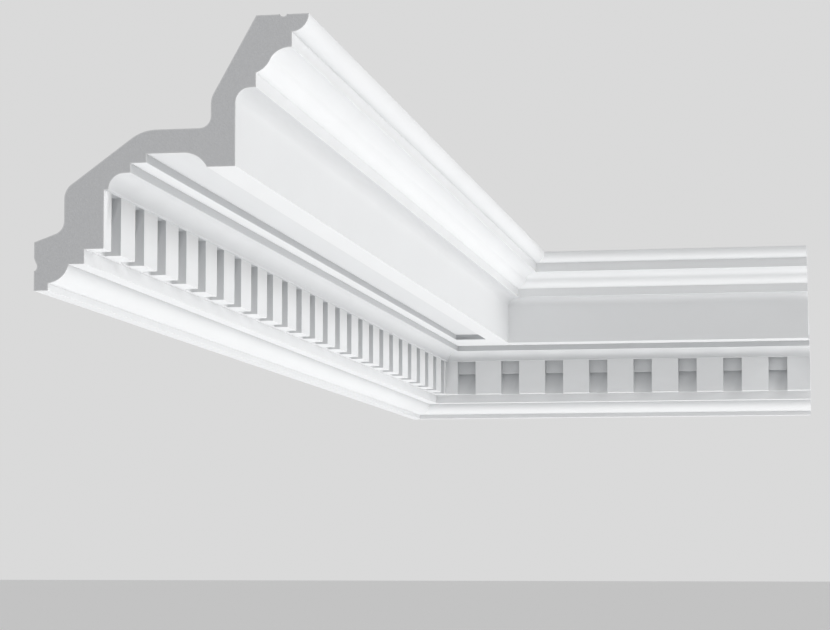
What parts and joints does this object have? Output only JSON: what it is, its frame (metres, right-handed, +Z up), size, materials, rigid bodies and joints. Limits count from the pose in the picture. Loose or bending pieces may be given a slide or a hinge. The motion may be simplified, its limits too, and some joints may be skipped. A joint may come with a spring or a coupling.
{
  "type": "dentil cornice moulding corner",
  "caption": "Hollow-backed dentil cornice moulding: a long square-cut length mitred to a short return at an inside room corner.",
  "frame": {"origin": "on the long length's wall land, halfway along it, at mid height of the strip under the glue groove", "axes": "+X out from the long length's wall, +Y along that wall towards the room corner, +Z up to the ceiling; the return runs along +X on the wall at +Y"},
  "size_m": [0.491, 1.394, 0.182],
  "materials": {
    "primed_foam": "factory-primed white moulded rigid foam, satin-matt, with bare grey foam at the square-cut ends"
  },
  "bodies": {
    "root": {"long_length": "primed_foam", "return_length": "primed_foam"}
  },
  "joints": []
}
